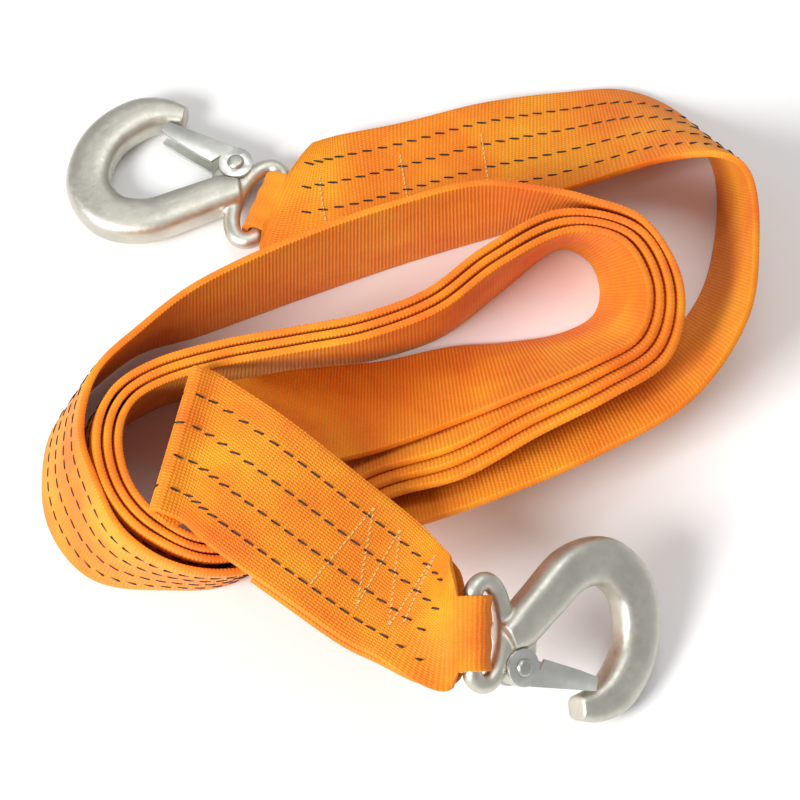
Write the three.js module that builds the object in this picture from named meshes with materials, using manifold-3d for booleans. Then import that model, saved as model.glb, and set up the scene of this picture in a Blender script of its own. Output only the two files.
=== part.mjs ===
// Tow strap: one long band of webbing, coiled on its edge, with a forged snap hook sewn in at each end.
// Millimetres, X to the right, Y away from the viewer, Z up, the floor at z = 0.
import * as THREE from "three";
import Module from "manifold-3d";

const wasm = await Module();
wasm.setup();
const { Manifold, CrossSection } = wasm;

// Webbing
const WEB_WIDTH = 60;
const WEB_THICKNESS = 2.8;
const LAYER_GAP = 1.1; // between two layers that lie against each other
const STEP = 9; // length of one facet along the webbing
const END_STEP = 3; // the same beside the end loops
const COIL_TURNS = 3;

// Sewn end loops
const EYE_WEB_WIDTH = 27; // the webbing is gathered to this width where it passes through a hook's eye
const SHOULDER_A = 8; // length over which it narrows at each end
const SHOULDER_B = 22;
const LAP_A = 92;
const LAP_B = 78;
const LAP_GAP = 0.8;
const LAP_TAPER = 26; // length over which a lap closes onto the strap

// Hooks
const BAR_RADIUS = 3.5;
const BAR_CLEARANCE = 0.5;
// Radius of the webbing's middle round the bar.
const LOOP_RADIUS = BAR_RADIUS + BAR_CLEARANCE + WEB_THICKNESS * 0.5;
const LOOP_SEGMENTS = 8;
const LOOP_STATIONS = 2; // stations that leave each bar
const LOOP_LEAD = 6; // length beside the bar where the webbing stays straight
const LOOP_PLAIN = 13; // length beside the bar where it keeps its gathered width
const FOLD_SEGMENTS = 6;
const EYE_HALF_WIDTH = 18.5; // from the middle of the bar to the middle of the ring's side
const EYE_REACH = 14; // from the bar to the middle of the ring's crown
const HOOK_THICKNESS = 14;
const RIVET_X = 19.5; // the rivet's place in the hook's own frame
const RIVET_Y = -12.5;
const RIVET_RADIUS = 2.4;
const RIVET_HEAD_RADIUS = 3.6;
const RIVET_HEAD_HEIGHT = 1.2;
const RIVET_CLEARANCE = 0.1;
const LUG_RADIUS = 6.5;
const LUG_THICKNESS = 7;
const LATCH_SHEET = 1.6;
const LATCH_GAP = 0.3;
const LATCH_HUB_RADIUS = 7;
const LATCH_PAST_BEAK = 3.74; // length of the closed latch beyond the beak's tip
const LATCH_LEAN = -10; // degrees, the closed latch against the hook's length
const ROUND_SEGMENTS = 24;
const TUBE_SEGMENTS = 12;

const v3 = (x, y, z) => new THREE.Vector3(x, y, z);
const radians = THREE.MathUtils.degToRad;

// A station is a line across the webbing: its ground edge a and its upper edge b.
const station = (a, b) => ({ a, b });
const middle = (s) => s.a.clone().add(s.b).multiplyScalar(0.5);
const across = (s) => s.b.clone().sub(s.a).normalize();
const moved = (s, by) => station(s.a.clone().add(by), s.b.clone().add(by));

// Webbing from the upper left hook round the outside of the coil.
// Each row is the ground edge x, y, z, then the upper edge x, y, z.
const OUTER_RUN = [
  [-25, 117, 10, -20, 60, 13],
  [1, 125, 7, 1, 68, 12],
  [34, 136, 5, 32, 79, 12],
  [67, 144, 0.7, 66, 87, 15],
  [95, 145, 0.5, 104, 93, 28],
  [117, 133, 0, 127, 87, 42],
  [130, 110, 0, 137, 73, 49],
  [130, 79, 0, 138, 44, 49],
  [121, 46, 0, 132, 10, 47],
  [100, 20, 0, 110, -22, 42],
  [67, 6, 0, 75, -42, 35],
  [31, -9, 0, 37, -59, 33],
  [-1, -23, 0, 4, -72, 34],
  [-34, -51, 0, -28, -87, 48],
  [-63, -77.5, 0, -59, -100, 56],
  [-90, -81, 0, -82, -98, 58],
  [-116, -77.5, 0, -101, -84, 58],
  [-132, -61, 0, -112, -62, 57],
  [-138, -39, 0, -118, -42, 56],
  [-134, -11, 0, -114, -18, 56],
  [-108, 19, 0, -98, 1, 56],
  [-80, 30, 0, -76, 19, 59],
  [-40, 47, 0, -38, 40, 59],
  [0, 63, 0, 0, 55, 59.5],
  [33, 74.5, 0, 31, 64, 59],
  [54, 81.5, 0, 56, 62, 57],
  [68, 83, 0, 72, 58.5, 56],
];

// One turn of the coil, the innermost.
// Each row is the ground edge x, y, then how far the upper edge leans from it in x and y.
const TURN = [
  [63, 70, 2, -25],
  [77, 65, 9, -24],
  [82, 50, 14, -28],
  [78, 36, 14, -34],
  [63, 27, 11, -37],
  [40, 20, 6, -43],
  [14, 10, 4, -47],
  [-17, -2, 3, -47],
  [-49, -42, 6, -33],
  [-79, -65, 8, -20],
  [-98, -63, 10, -13],
  [-111, -55, 13, -8],
  [-119, -40, 17, -6],
  [-115, -20, 16, -12],
  [-98, -5, 10, -18],
  [-70, 5, 5, -20],
  [-40, 12, 2, -21],
  [-12, 18, 0, -21],
  [16, 29, -1, -20],
  [40, 50, -2, -21],
];

// The coil's last turn carries on round its right end before the webbing leaves for the fold.
const TURN_TAIL = 5;

// Webbing from the coil to the fold, rising onto the coil's upper edges.
const INNER_RUN = [
  [40, 24, 0, 45, -20, 40],
  [20, 22, 0.7, 23, -27, 33],
  [-8, 11, 9, -8, -42, 37],
  [-40, -4, 30, -43, -59, 50],
];
const FOLD = [-76, -20, 59, -89, -82, 64];
const FOLD_LEAD = 9; // length beside the fold where the webbing stays parallel to it

// Webbing from the fold down to the lower right hook.
const END_RUN = [
  [-41, -41, 60, -69, -94, 65],
  [-11, -62, 49, -40, -114, 60],
  [7, -76, 45, -20, -127, 55],
  [18, -91, 51, -5, -135, 53],
];

// Each hook's place: the middle of its bar, then the hook's turn, dip and roll in degrees.
const HOOK_A = { at: [-53, 84.5, 8], turn: 160, dip: 0, roll: 0 };
const HOOK_B = { at: [26, -122.5, 53], turn: 16, dip: 32, roll: 30 };

// The unit direction along the webbing at station i.
function along(list, i) {
  const from = middle(list[Math.max(i - 1, 0)]);
  const to = middle(list[Math.min(i + 1, list.length - 1)]);
  return to.sub(from).normalize();
}

// The unit direction square to the webbing's face at station i.
function faceNormal(list, i) {
  return along(list, i).cross(across(list[i])).normalize();
}

// Smooth curve through stations, each edge a cubic with knots spaced by the square root of the chord.
function smooth(list, stepAt) {
  const knots = [0];
  for (let i = 1; i < list.length; i++) {
    const chord = middle(list[i]).distanceTo(middle(list[i - 1]));
    knots.push(knots[i - 1] + Math.sqrt(chord));
  }
  const slope = (edge, i) => {
    const lo = Math.max(i - 1, 0);
    const hi = Math.min(i + 1, list.length - 1);
    return list[hi][edge].clone().sub(list[lo][edge]).divideScalar(knots[hi] - knots[lo]);
  };
  const at = (edge, i, t) => {
    const span = knots[i + 1] - knots[i];
    const t2 = t * t;
    const t3 = t2 * t;
    return list[i][edge].clone().multiplyScalar(2 * t3 - 3 * t2 + 1)
      .addScaledVector(slope(edge, i), span * (t3 - 2 * t2 + t))
      .addScaledVector(list[i + 1][edge], 3 * t2 - 2 * t3)
      .addScaledVector(slope(edge, i + 1), span * (t3 - t2));
  };
  const out = [];
  for (let i = 0; i + 1 < list.length; i++) {
    const chord = middle(list[i]).distanceTo(middle(list[i + 1]));
    const count = Math.max(1, Math.round(chord / stepAt(i)));
    for (let n = 0; n < count; n++)
      out.push(station(at("a", i, n / count), at("b", i, n / count)));
  }
  out.push(list[list.length - 1]);
  return out;
}

// Stations of a list, lifted so that the webbing's thickness stays above the heights it gives.
function rested(rows) {
  const list = rows.map((r) => station(v3(r[0], r[1], r[2]), v3(r[3], r[4], r[5])));
  return list.map((s, i) => {
    const lift = Math.abs(faceNormal(list, i).z) * WEB_THICKNESS * 0.5;
    return moved(s, v3(0, 0, lift));
  });
}

// The coil: one turn repeated, each station moved outward by the layers still wound outside it.
function coil() {
  const count = TURN.length;
  const flat = TURN.map(([x, y, dx, dy]) => {
    const rise = Math.sqrt(WEB_WIDTH ** 2 - dx ** 2 - dy ** 2);
    return [x, y, 0, x + dx, y + dy, rise];
  });
  const ring = rested([flat[count - 1], ...flat, flat[0]]);
  const pitch = WEB_THICKNESS + LAYER_GAP;
  const out = [];
  for (let n = 1; n < COIL_TURNS * count + TURN_TAIL; n++) {
    const i = (n % count) + 1;
    const normal = faceNormal(ring, i);
    const chord = ring[i + 1].a.clone().sub(ring[i - 1].a).setZ(0).normalize();
    const outward = v3(-chord.y, chord.x, 0);
    const layer = COIL_TURNS - n / count;
    const shift = (layer * pitch) / Math.abs(normal.dot(outward));
    out.push(moved(ring[i], outward.multiplyScalar(shift)));
  }
  return out;
}

// Half a turn of stations about an axis line, from under it to over it, bulging towards outward.
function halfTurn(axis, outward, up, radius, count) {
  const out = [];
  for (let n = 0; n <= count; n++) {
    const angle = (n / count - 0.5) * Math.PI;
    const by = outward.clone().multiplyScalar(radius * Math.cos(angle));
    by.addScaledVector(up, radius * Math.sin(angle));
    out.push(moved(axis, by));
  }
  return out;
}

// A hook's own directions: to its far end, along its bar, and square to its face.
function barFrame({ at, turn, dip, roll }) {
  const forward = v3(Math.cos(radians(turn)), Math.sin(radians(turn)), 0);
  const side = v3(0, 0, 1).cross(forward).normalize();
  forward.applyAxisAngle(side, radians(dip));
  side.applyAxisAngle(forward, radians(roll));
  const up = forward.clone().cross(side).normalize();
  return { at: v3(...at), forward, side, up };
}

// The sewn end: from the strap over the bar and back beneath the strap as the lap.
function endLoop(strap, loop, lap) {
  const half = across(strap[0]).multiplyScalar(WEB_WIDTH * 0.5);
  const axis = station(loop.at.clone().sub(half), loop.at.clone().add(half));
  const arc = halfTurn(axis, loop.forward, loop.up, LOOP_RADIUS, LOOP_SEGMENTS).reverse();
  const under = [];
  let run = 0;
  for (let i = 1; i < strap.length && run < lap; i++) {
    run += middle(strap[i]).distanceTo(middle(strap[i - 1]));
    const close = Math.min(1, run / LAP_TAPER);
    const ease = close * close * (3 - 2 * close);
    const shut = WEB_THICKNESS + LAP_GAP;
    const gap = 2 * LOOP_RADIUS + (shut - 2 * LOOP_RADIUS) * ease;
    const normal = faceNormal(strap, i);
    normal.multiplyScalar(normal.z < 0 ? gap : -gap);
    under.push(moved(strap[i], normal));
  }
  return [...arc.slice(1), ...under];
}

// A closed strip of rectangular section through the stations, narrowed to the given width at each.
function stripGeometry(list, widths) {
  const points = [];
  list.forEach((s, i) => {
    const mid = middle(s);
    const reach = s.b.distanceTo(s.a) * 0.5 * (widths[i] / WEB_WIDTH);
    const side = across(s).multiplyScalar(reach);
    const normal = faceNormal(list, i).multiplyScalar(WEB_THICKNESS * 0.5);
    for (const [sign, face] of [[-1, 1], [1, 1], [1, -1], [-1, -1]])
      points.push(mid.clone().addScaledVector(side, sign).addScaledVector(normal, face));
  });
  const faces = [];
  const corners = 4;
  for (let i = 0; i + 1 < list.length; i++)
    for (let c = 0; c < corners; c++) {
      const d = (c + 1) % corners;
      const [p, q] = [i * corners + c, i * corners + d];
      faces.push(p, q + corners, q, p, p + corners, q + corners);
    }
  const last = (list.length - 1) * corners;
  faces.push(0, 1, 2, 0, 2, 3, last, last + 2, last + 1, last, last + 3, last + 2);
  return indexed(points.flatMap((p) => p.toArray()), faces);
}

function indexed(positions, faces) {
  const geometry = new THREE.BufferGeometry();
  geometry.setAttribute("position", new THREE.Float32BufferAttribute(positions, 3));
  geometry.setIndex(faces);
  geometry.computeVertexNormals();
  return geometry;
}

// Narrowing of the webbing near its end loops, by the distance along it.
function stripWidths(list, loopStart, loopEnd) {
  const dist = [0];
  for (let i = 1; i < list.length; i++)
    dist.push(dist[i - 1] + middle(list[i]).distanceTo(middle(list[i - 1])));
  const ease = (d, bar, shoulder) => {
    const t = THREE.MathUtils.clamp((Math.abs(d - dist[bar]) - LOOP_PLAIN) / shoulder, 0, 1);
    return Math.sqrt(1 - (1 - t) ** 2);
  };
  return dist.map((d) => {
    const opened = Math.min(ease(d, loopStart, SHOULDER_A), ease(d, loopEnd, SHOULDER_B));
    return EYE_WEB_WIDTH + (WEB_WIDTH - EYE_WEB_WIDTH) * opened;
  });
}

const barA = barFrame(HOOK_A);
const barB = barFrame(HOOK_B);

// The end loop's own directions at a bar: it lies along the strap, however the hook hangs.
function loopFrame(bar, nearest) {
  const forward = bar.at.clone().sub(middle(nearest));
  forward.addScaledVector(bar.side, -forward.dot(bar.side)).normalize();
  const up = forward.clone().cross(bar.side).normalize();
  return { at: bar.at, forward, side: bar.side, up };
}

// Stations where the strap leaves the top of a bar, the second one straight on from the first.
function leaving(loop, flip) {
  const half = loop.side.clone().multiplyScalar(WEB_WIDTH * 0.5 * flip);
  const top = loop.at.clone().addScaledVector(loop.up, LOOP_RADIUS);
  const first = station(top.clone().sub(half), top.clone().add(half));
  const out = [];
  for (let n = 0; n < LOOP_STATIONS; n++)
    out.push(moved(first, loop.forward.clone().multiplyScalar(-LOOP_LEAD * n)));
  return out;
}

// Stations on both sides of the fold and round it.
function foldStations(before) {
  const crease = rested([FOLD, FOLD])[0];
  const line = across(crease);
  const travel = middle(crease).sub(middle(before));
  const outward = travel.addScaledVector(line, -travel.dot(line)).normalize();
  const up = outward.clone().cross(line);
  if (up.z < 0) up.negate();
  const radius = (WEB_THICKNESS + LAYER_GAP) * 0.5;
  const axis = moved(crease, up.clone().multiplyScalar(radius + WEB_THICKNESS * 0.5));
  const arc = halfTurn(axis, outward, up, radius, FOLD_SEGMENTS);
  const lead = outward.clone().multiplyScalar(-FOLD_LEAD);
  return { arc, before: moved(arc[0], lead), after: moved(arc[arc.length - 1], lead) };
}

function webbing() {
  const outerRun = rested(OUTER_RUN);
  const inner = rested(INNER_RUN);
  const endRun = rested(END_RUN);
  const loopA = loopFrame(barA, outerRun[0]);
  const loopB = loopFrame(barB, endRun[endRun.length - 1]);
  const fold = foldStations(inner[inner.length - 1]);
  const beforeFold = [...outerRun, ...coil(), ...inner, fold.before, fold.arc[0]];
  const afterFold = [fold.arc[fold.arc.length - 1], fold.after, ...endRun];
  const first = smooth([...leaving(loopA, 1), ...beforeFold], (i) => (i < LOOP_STATIONS ? END_STEP : STEP));
  const last = smooth([...afterFold, ...leaving(loopB, -1).reverse()],
    (i) => (i + 1 < afterFold.length ? STEP : END_STEP));
  const main = [...first, ...fold.arc.slice(1, -1), ...last];
  const lapA = endLoop(main, loopA, LAP_A).reverse();
  const lapB = endLoop([...main].reverse(), loopB, LAP_B);
  const list = [...lapA, ...main, ...lapB];
  const atBarA = lapA.length - LOOP_SEGMENTS / 2;
  const atBarB = lapA.length + main.length - 1 + LOOP_SEGMENTS / 2;
  return stripGeometry(list, stripWidths(list, atBarA, atBarB));
}

// Hook body: centre line x, y and width, from the shank round to the beak, in the hook's own frame.
const HOOK_LINE = [
  [13.5, -2, 11.5],
  [20.5, 2, 15.5],
  [31, 11.5, 16.5],
  [44.5, 23, 17.5],
  [59.5, 26, 18.5],
  [72, 17.5, 18.5],
  [76, 4, 18],
  [74, -9.5, 17.5],
  [66.5, -21, 16.5],
  [57.5, -26.5, 13.5],
  [48, -28, 9],
];
const HOOK_STEPS = 44;
const BEAK_START = 0.85; // share of the body's length after which it thins towards the beak
const BEAK_THINNING = 0.24;
const SQUARENESS = 0.62; // below 1 a tube's section is a rounded rectangle
const ROUND = 1;
const EYE_FLATTENING = 0.36; // share of the ring's reach by which its bar side is cut straight
const NECK_LENGTH = 12;
const POCKET_OVERRUN = 1;

// A geometry as a solid for joining and cutting.
function solid(geometry) {
  const position = geometry.getAttribute("position");
  return new Manifold(new wasm.Mesh({
    numProp: 3,
    vertProperties: new Float32Array(position.array),
    triVerts: new Uint32Array(geometry.index.array),
  }));
}

// A tube through points with a superellipse section: half widths in the plane and half heights across it.
function tube(points, halfWidths, halfHeights, closed, power) {
  const count = points.length;
  const positions = [];
  points.forEach((p, i) => {
    const prev = points[closed ? (i + count - 1) % count : Math.max(i - 1, 0)];
    const next = points[closed ? (i + 1) % count : Math.min(i + 1, count - 1)];
    const dir = new THREE.Vector2(next[0] - prev[0], next[1] - prev[1]).normalize();
    for (let n = 0; n < TUBE_SEGMENTS; n++) {
      const angle = ((n + 0.5) / TUBE_SEGMENTS) * 2 * Math.PI;
      const [c, s] = [Math.cos(angle), Math.sin(angle)];
      const u = Math.sign(c) * Math.abs(c) ** power * halfWidths[i];
      const w = Math.sign(s) * Math.abs(s) ** power * halfHeights[i];
      positions.push(p[0] + dir.y * u, p[1] - dir.x * u, w);
    }
  });
  const faces = [];
  const segments = TUBE_SEGMENTS;
  const rings = closed ? count : count - 1;
  for (let i = 0; i < rings; i++)
    for (let n = 0; n < segments; n++) {
      const m = (n + 1) % segments;
      const j = (i + 1) % count;
      const [p, q] = [i * segments + n, i * segments + m];
      const [r, t] = [j * segments + m, j * segments + n];
      faces.push(p, r, q, p, t, r);
    }
  if (!closed)
    for (let n = 1; n + 1 < segments; n++) {
      const last = (count - 1) * segments;
      faces.push(0, n, n + 1, last, last + n + 1, last + n);
    }
  return indexed(positions, faces);
}

function hookSolid() {
  const curve = new THREE.CatmullRomCurve3(HOOK_LINE.map(([x, y, w]) => v3(x, y, w)), false, "centripetal");
  const line = curve.getPoints(HOOK_STEPS);
  const points = line.map((p) => [p.x, p.y]);
  const half = line.map((p) => p.z * 0.5);
  const heights = line.map((p, i) => {
    const toBeak = i / (line.length - 1);
    const thin = Math.max(0, toBeak - BEAK_START) / (1 - BEAK_START);
    return HOOK_THICKNESS * 0.5 * (1 - BEAK_THINNING * thin);
  });
  const body = solid(tube(points, half, heights, false, SQUARENESS));

  const ring = [];
  for (let n = 0; n < ROUND_SEGMENTS; n++) {
    const angle = (n / ROUND_SEGMENTS) * 2 * Math.PI;
    const [c, s] = [Math.cos(angle), Math.sin(angle)];
    const x = Math.max(0, EYE_REACH * (EYE_FLATTENING + (1 - EYE_FLATTENING) * c));
    ring.push([x, -EYE_HALF_WIDTH * s]);
  }
  const ringWidths = ring.map(() => BAR_RADIUS);
  const eye = solid(tube(ring, ringWidths, ringWidths, true, ROUND));

  const lug = Manifold.cylinder(LUG_THICKNESS, LUG_RADIUS, LUG_RADIUS, ROUND_SEGMENTS, true)
    .translate([RIVET_X, RIVET_Y, 0]);
  const neck = Manifold.cube([LUG_RADIUS * 2, NECK_LENGTH, LUG_THICKNESS], true)
    .translate([RIVET_X, RIVET_Y + NECK_LENGTH * 0.5, 0]);
  const pocketRadius = LATCH_HUB_RADIUS + 2 * LATCH_GAP;
  const slab = (HOOK_THICKNESS - LUG_THICKNESS) * 0.5 + POCKET_OVERRUN;
  const pocket = Manifold.cylinder(slab, pocketRadius, pocketRadius, ROUND_SEGMENTS, true);
  const lift = LUG_THICKNESS * 0.5 + slab * 0.5;
  const boreRadius = RIVET_RADIUS + RIVET_CLEARANCE;
  const bore = Manifold.cylinder(HOOK_THICKNESS * 2, boreRadius, boreRadius, ROUND_SEGMENTS, true)
    .translate([RIVET_X, RIVET_Y, 0]);
  return body.add(eye)
    .subtract(pocket.translate([RIVET_X, RIVET_Y, lift]))
    .subtract(pocket.translate([RIVET_X, RIVET_Y, -lift]))
    .add(lug)
    .add(neck)
    .subtract(bore);
}

// Latch: a pressed channel, two cheeks over the lug joined by a back, ending in a tongue inside the beak.
const [BEAK_X, BEAK_Y] = HOOK_LINE[HOOK_LINE.length - 1];
const LEAN = THREE.MathUtils.degToRad(LATCH_LEAN);
const LATCH_REACH = (BEAK_X - RIVET_X) * Math.cos(LEAN) + (BEAK_Y - RIVET_Y) * Math.sin(LEAN) + LATCH_PAST_BEAK;
const LATCH_OUTLINE = [
  [LATCH_REACH * 0.12, -6.2],
  [LATCH_REACH * 0.77, -4],
  [LATCH_REACH, -3],
  [LATCH_REACH, 2.2],
  [LATCH_REACH * 0.74, 3.4],
  [LATCH_REACH * 0.26, 4.6],
];

function latchSolid() {
  const outer = LUG_THICKNESS + 2 * (LATCH_GAP + LATCH_SHEET);
  const inner = LUG_THICKNESS + 2 * LATCH_GAP;
  const hub = CrossSection.circle(LATCH_HUB_RADIUS, ROUND_SEGMENTS);
  const arm = CrossSection.ofPolygons([LATCH_OUTLINE]);
  const plate = hub.add(arm);
  const channel = plate.extrude(outer).translate([0, 0, -outer * 0.5]);
  const hollow = plate.offset(0.01).translate([0, LATCH_SHEET])
    .extrude(inner).translate([0, 0, -inner * 0.5]);
  const around = CrossSection.circle(LUG_RADIUS + 2 * LATCH_GAP, ROUND_SEGMENTS)
    .extrude(inner).translate([0, 0, -inner * 0.5]);
  const boreRadius = RIVET_RADIUS + RIVET_CLEARANCE;
  const bore = CrossSection.circle(boreRadius, ROUND_SEGMENTS).extrude(outer * 2).translate([0, 0, -outer]);
  return channel.subtract(hollow).subtract(around).subtract(bore)
    .rotate([0, 0, LATCH_LEAN])
    .translate([RIVET_X, RIVET_Y, 0]);
}

function rivetSolid() {
  const grip = LUG_THICKNESS + 2 * (LATCH_GAP + LATCH_SHEET) + 2 * RIVET_CLEARANCE;
  const overall = grip + 2 * RIVET_HEAD_HEIGHT;
  const shaft = Manifold.cylinder(overall - 0.4, RIVET_RADIUS, RIVET_RADIUS, ROUND_SEGMENTS, true);
  const crown = RIVET_HEAD_RADIUS * 0.7;
  const head = Manifold.cylinder(RIVET_HEAD_HEIGHT, RIVET_HEAD_RADIUS, crown, ROUND_SEGMENTS)
    .translate([0, 0, grip * 0.5]);
  return shaft.add(head).add(head.mirror([0, 0, 1])).translate([RIVET_X, RIVET_Y, 0]);
}

// A solid of the hook's own frame as geometry at its bar.
function placed(shape, bar) {
  const mesh = shape.getMesh();
  const geometry = indexed(Array.from(mesh.vertProperties), Array.from(mesh.triVerts));
  const place = new THREE.Matrix4().makeBasis(bar.forward, bar.side, bar.up).setPosition(bar.at);
  return geometry.applyMatrix4(place);
}

// Brings the middle of the floor that the strap covers to the origin.
const TO_ORIGIN = [-0.22, -1.48, 0.11];
const root = new THREE.Group();
function addPart(name, geometry, color, roughness, metalness) {
  const material = new THREE.MeshStandardMaterial({ color, roughness, metalness });
  const mesh = new THREE.Mesh(geometry.translate(...TO_ORIGIN), material);
  mesh.name = name;
  root.add(mesh);
}

addPart("webbing", webbing(), "#f08a1a", 0.8, 0);
for (const [suffix, bar] of [["a", barA], ["b", barB]]) {
  addPart("hook_" + suffix, placed(hookSolid(), bar), "#c6c8c2", 0.4, 0.9);
  addPart("latch_" + suffix, placed(latchSolid(), bar), "#d3d6d2", 0.35, 0.9);
  addPart("rivet_" + suffix, placed(rivetSolid(), bar), "#b9bcb8", 0.35, 0.9);
}

export default root;
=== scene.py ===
"""Tow strap: orange webbing coiled on its edge, with a forged snap hook sewn in at each end.

The script is laid out as an add-on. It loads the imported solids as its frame, makes the webbing, its stitching
and the hooks in detail over them, finishes the latches and rivets, and sets the floor, lights and camera.
"""

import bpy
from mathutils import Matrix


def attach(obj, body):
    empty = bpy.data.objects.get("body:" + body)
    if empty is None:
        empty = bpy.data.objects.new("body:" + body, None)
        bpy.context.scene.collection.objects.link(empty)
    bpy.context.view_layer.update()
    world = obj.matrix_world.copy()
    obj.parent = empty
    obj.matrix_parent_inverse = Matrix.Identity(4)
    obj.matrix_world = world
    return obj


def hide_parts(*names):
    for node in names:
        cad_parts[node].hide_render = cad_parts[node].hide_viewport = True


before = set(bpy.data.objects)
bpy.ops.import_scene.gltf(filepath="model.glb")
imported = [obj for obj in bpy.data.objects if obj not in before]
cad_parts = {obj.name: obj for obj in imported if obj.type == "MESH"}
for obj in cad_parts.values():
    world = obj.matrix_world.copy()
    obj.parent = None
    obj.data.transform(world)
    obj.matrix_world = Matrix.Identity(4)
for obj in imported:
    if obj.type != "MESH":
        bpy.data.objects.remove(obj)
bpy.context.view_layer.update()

import math

import bmesh
import bpy
import numpy as np
from bpy.props import FloatProperty, FloatVectorProperty, IntProperty, PointerProperty, StringProperty
from mathutils import Matrix, Vector

bl_info = {
    "name": "Tow strap",
    "version": (1, 0, 0),
    "blender": (4, 5, 0),
    "location": "View3D > Sidebar > Tow strap",
    "description": "Coiled webbing tow strap with a forged snap hook at each end",
    "category": "Add Mesh",
}

MM = 0.001
TO_ORIGIN = np.array([-0.22, -1.48, 0.11])  # brings the floor's middle to the origin, in mm

# The strap's route, in mm: each row is the ground edge x, y, z, then the upper edge x, y, z
OUTER_RUN = [
    [-25, 117, 10, -20, 60, 13],
    [1, 125, 7, 1, 68, 12],
    [34, 136, 5, 32, 79, 12],
    [67, 144, 0.7, 66, 87, 15],
    [95, 145, 0.5, 104, 93, 28],
    [117, 133, 0, 127, 87, 42],
    [130, 110, 0, 137, 73, 49],
    [130, 79, 0, 138, 44, 49],
    [121, 46, 0, 132, 10, 47],
    [100, 20, 0, 110, -22, 42],
    [67, 6, 0, 75, -42, 35],
    [31, -9, 0, 37, -59, 33],
    [-1, -23, 0, 4, -72, 34],
    [-34, -51, 0, -28, -87, 48],
    [-63, -77.5, 0, -59, -100, 56],
    [-90, -81, 0, -82, -98, 58],
    [-116, -77.5, 0, -101, -84, 58],
    [-132, -61, 0, -112, -62, 57],
    [-138, -39, 0, -118, -42, 56],
    [-134, -11, 0, -114, -18, 56],
    [-108, 19, 0, -98, 1, 56],
    [-80, 30, 0, -76, 19, 59],
    [-40, 47, 0, -38, 40, 59],
    [0, 63, 0, 0, 55, 59.5],
    [33, 74.5, 0, 31, 64, 59],
    [54, 81.5, 0, 56, 62, 57],
    [68, 83, 0, 72, 58.5, 56],
]

# One turn of the coil, the innermost: ground edge x, y, then how far the upper edge leans from it in x and y.
TURN = [
    [63, 70, 2, -25],
    [77, 65, 9, -24],
    [82, 50, 14, -28],
    [78, 36, 14, -34],
    [63, 27, 11, -37],
    [40, 20, 6, -43],
    [14, 10, 4, -47],
    [-17, -2, 3, -47],
    [-49, -42, 6, -33],
    [-79, -65, 8, -20],
    [-98, -63, 10, -13],
    [-111, -55, 13, -8],
    [-119, -40, 17, -6],
    [-115, -20, 16, -12],
    [-98, -5, 10, -18],
    [-70, 5, 5, -20],
    [-40, 12, 2, -21],
    [-12, 18, 0, -21],
    [16, 29, -1, -20],
    [40, 50, -2, -21],
]
COIL_TURNS = 3
TURN_TAIL = 5
INNER_RUN = [
    [40, 24, 0, 45, -20, 40],
    [20, 22, 0.7, 23, -27, 33],
    [-8, 11, 9, -8, -42, 37],
    [-40, -4, 30, -43, -59, 50],
]
FOLD = [-76, -20, 59, -89, -82, 64]
FOLD_LEAD = 9
END_RUN = [
    [-41, -41, 60, -69, -94, 65],
    [-11, -62, 49, -40, -114, 60],
    [7, -76, 45, -20, -127, 55],
    [18, -91, 51, -5, -135, 53],
]
STEP = 3.2  # length of one facet along the webbing
LOOP_STEP = 1.6
LOOP_SEGMENTS = 14
LOOP_LEAD = 6
LOOP_PLAIN = 13
FOLD_SEGMENTS = 12
EYE_WEB_WIDTH = 27
SHOULDER_A = 8
SHOULDER_B = 22
LAP_A = 92
LAP_B = 78
LAP_GAP = 0.8
LAP_TAPER = 26

# Hooks, in their own frame: origin at the middle of the bar, x to the far end, the beak on the side of -y.
HOOKS = {
    "a": {"at": (-53, 84.5, 8), "turn": 160, "dip": 0, "roll": 0},
    "b": {"at": (26, -122.5, 53), "turn": 16, "dip": 32, "roll": 30},
}
HOOK_LINE = [
    [13.5, -2, 11.5],
    [20.5, 2, 15.5],
    [31, 11.5, 16.5],
    [44.5, 23, 17.5],
    [59.5, 26, 18.5],
    [72, 17.5, 18.5],
    [76, 4, 18],
    [74, -9.5, 17.5],
    [66.5, -21, 16.5],
    [57.5, -26.5, 13.5],
    [48, -28, 9],
]
BAR_RADIUS = 3.5
BAR_CLEARANCE = 0.5
EYE_HALF_WIDTH = 18.5
EYE_REACH = 14
EYE_FLATTENING = 0.36
HOOK_THICKNESS = 14
BEAK_START = 0.85
BEAK_THINNING = 0.24
RIVET = (19.5, -12.5)
LUG_RADIUS = 6.5
LUG_THICKNESS = 7
POCKET_RADIUS = 7.6
NECK = (RIVET[0] + 1, RIVET[1] + 7)  # joins the lug to the body
POCKET_HEIGHT = 10
HOOK_STEP = 1.2
HOOK_SIDES = 48
HOOK_SQUARENESS = 0.66  # power of the section: 1 is an ellipse, 0 a rectangle
EYE_POINTS = 120
EYE_SIDES = 32
EDGE_ROUNDING = 0.3  # radius on the edges of latch and rivet
WELD = 0.01  # corners nearer than this are one


# Sizes and colours that a user would change
class WebbingSettings(bpy.types.PropertyGroup):
    """The webbing's section and colour."""

    width: FloatProperty(name="Width", description="Width of the webbing", default=60 * MM, unit="LENGTH")
    thickness: FloatProperty(
        name="Thickness", description="Thickness of one layer", default=2.8 * MM, unit="LENGTH"
    )
    layer_gap: FloatProperty(
        name="Layer gap", description="Space between two layers of the coil", default=1.1 * MM, unit="LENGTH"
    )
    colour: StringProperty(name="Colour", description="Dyed yarn, sRGB hex", default="FA8A0C")
    rib: FloatProperty(
        name="Rib", description="Spacing of the cross ribs of the weave", default=1.5 * MM, unit="LENGTH"
    )


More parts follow.
